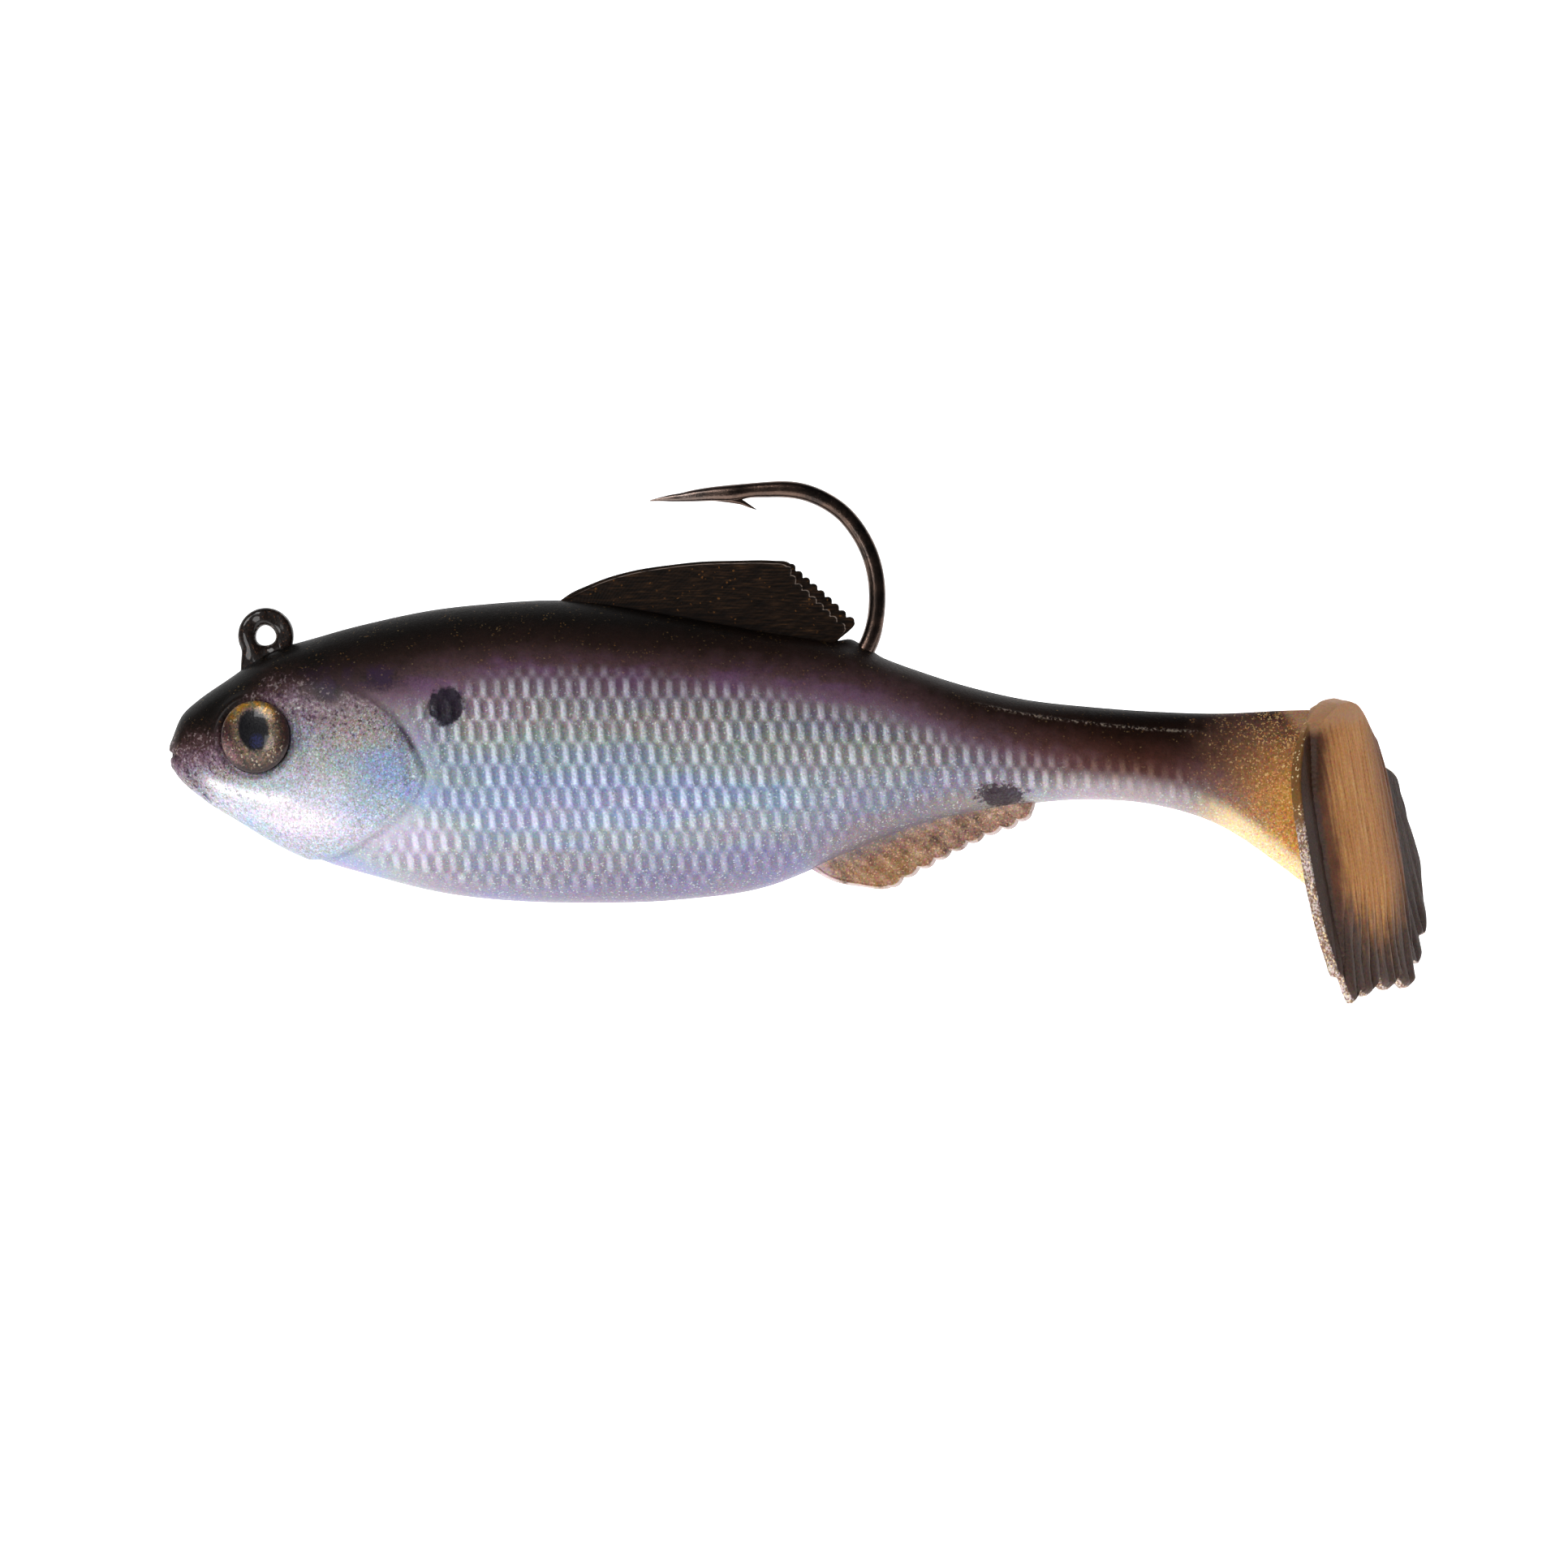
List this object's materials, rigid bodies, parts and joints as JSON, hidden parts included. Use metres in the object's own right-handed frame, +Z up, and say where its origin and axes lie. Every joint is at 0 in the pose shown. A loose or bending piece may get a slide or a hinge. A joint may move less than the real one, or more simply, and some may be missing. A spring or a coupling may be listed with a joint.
{
  "type": "swimbait",
  "caption": "Soft shad-shaped fishing bait with a lead head, a single upright hook, a line tie, fins that flex and a kicking paddle tail.",
  "frame": {"origin": "centre of the line tie's hole, in the bait's middle plane", "axes": "+X from the nose to the tail, +Z up through the line tie, and -Y on the bait's left side"},
  "size_m": [0.1026, 0.0135, 0.0425],
  "materials": {
    "soft_body": "glossy soft plastic, pearl sides under a dark back",
    "soft_fin": "glossy soft plastic with glitter",
    "soft_paddle": "satin soft plastic, tan with dark edges",
    "hook_wire": "polished black nickel",
    "line_tie_coat": "gloss black enamel over wire",
    "lead": "bare cast lead",
    "eye_print": "holographic film with a printed pupil",
    "eye_lens": "clear domed resin",
    "flash_film": "holographic film"
  },
  "bodies": {
    "trunk": {"trunk_casting": "soft_body", "lead_head": "lead", "jig_hook": "hook_wire", "line_tie": "line_tie_coat", "eye_foil_left": "eye_print", "eye_foil_right": "eye_print", "eye_dome_left": "eye_lens", "eye_dome_right": "eye_lens", "flash_foil_left": "flash_film", "flash_foil_right": "flash_film"},
    "dorsal_fin": {"dorsal_fin": "soft_fin"},
    "anal_fin": {"anal_fin": "soft_fin"},
    "stalk_front": {"tail_stalk_front": "soft_body"},
    "stalk_rear": {"tail_stalk_rear": "soft_body"},
    "web": {"tail_web": "soft_body"},
    "paddle": {"paddle_tail": "soft_paddle"}
  },
  "joints": [
    {"name": "tail_sway", "type": "hinge", "parent": "trunk", "child": "stalk_front", "pos_m": [0.06565, 0, -0.00953], "axis": [0, 0, 1], "range_deg": [-25, 25], "stiffness_Nm_per_rad": 0.001},
    {"name": "tail_sway_middle", "type": "hinge", "parent": "stalk_front", "child": "stalk_rear", "pos_m": [0.07152, 0, -0.00996], "axis": [0, 0, 1], "range_deg": [-25, 25], "stiffness_Nm_per_rad": 0.001},
    {"name": "tail_sway_rear", "type": "hinge", "parent": "stalk_rear", "child": "web", "pos_m": [0.07739, 0, -0.01091], "axis": [0, 0, 1], "range_deg": [-25, 25], "stiffness_Nm_per_rad": 0.001},
    {"name": "paddle_kick", "type": "hinge", "parent": "web", "child": "paddle", "pos_m": [0.08795, 0, -0.01425], "axis": [-0.165, 0, 0.9863], "range_deg": [-8, 82], "stiffness_Nm_per_rad": 0.0004},
    {"name": "dorsal_flex", "type": "hinge", "parent": "trunk", "child": "dorsal_fin", "pos_m": [0.02477, 0, 0.00284], "axis": [0.9871, 0, -0.1599], "range_deg": [-20, 20], "stiffness_Nm_per_rad": 0.001},
    {"name": "anal_flex", "type": "hinge", "parent": "trunk", "child": "anal_fin", "pos_m": [0.04492, 0, -0.01916], "axis": [0.9523, 0, 0.3051], "range_deg": [-20, 20], "stiffness_Nm_per_rad": 0.001}
  ],
  "couplings": [
    {"joint": "tail_sway_middle", "follows": "tail_sway", "ratio": 1},
    {"joint": "tail_sway_rear", "follows": "tail_sway", "ratio": 1}
  ]
}
